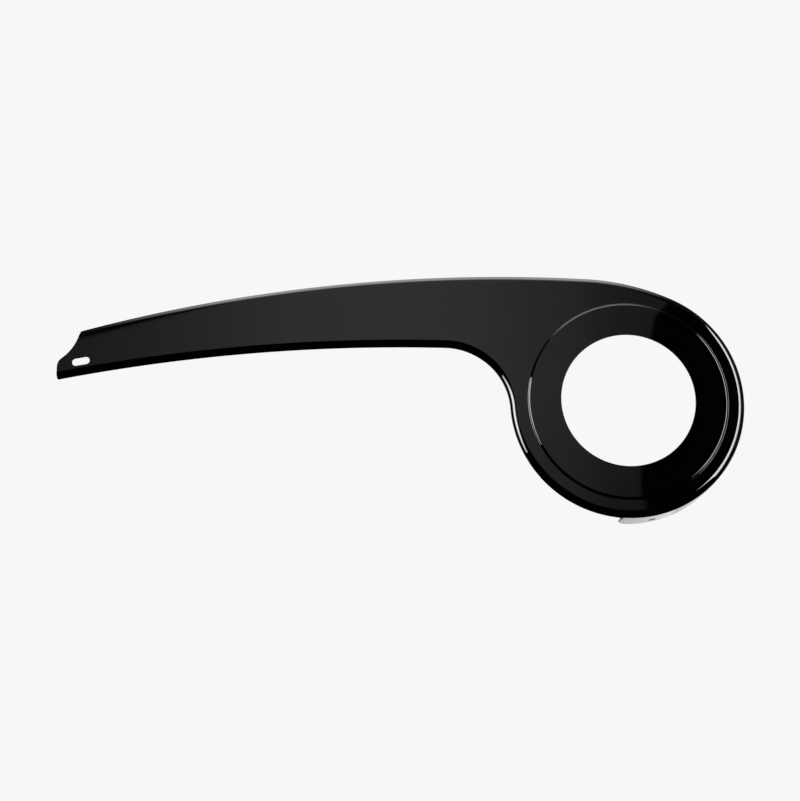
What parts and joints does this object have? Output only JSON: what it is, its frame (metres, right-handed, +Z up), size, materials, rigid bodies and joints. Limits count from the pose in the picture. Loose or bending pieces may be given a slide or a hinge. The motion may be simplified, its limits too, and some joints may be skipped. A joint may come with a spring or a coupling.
{
  "type": "bicycle chain guard",
  "caption": "Pressed sheet-steel chain guard: a round chainring cover with a raised ring round its crank hole, and a long curved arm over the chain that ends in a slotted tab.",
  "frame": {"origin": "centre of the crank hole, on the outer face of the raised ring, upright as on the bicycle", "axes": "+X forward, +Z up, -Y outwards from the drive side; the flange runs back to +Y"},
  "size_m": [0.518, 0.029, 0.1893],
  "materials": {
    "black_paint": "smooth gloss black stoving paint on pressed steel"
  },
  "bodies": {
    "root": {"chain_guard": "black_paint"}
  },
  "joints": []
}
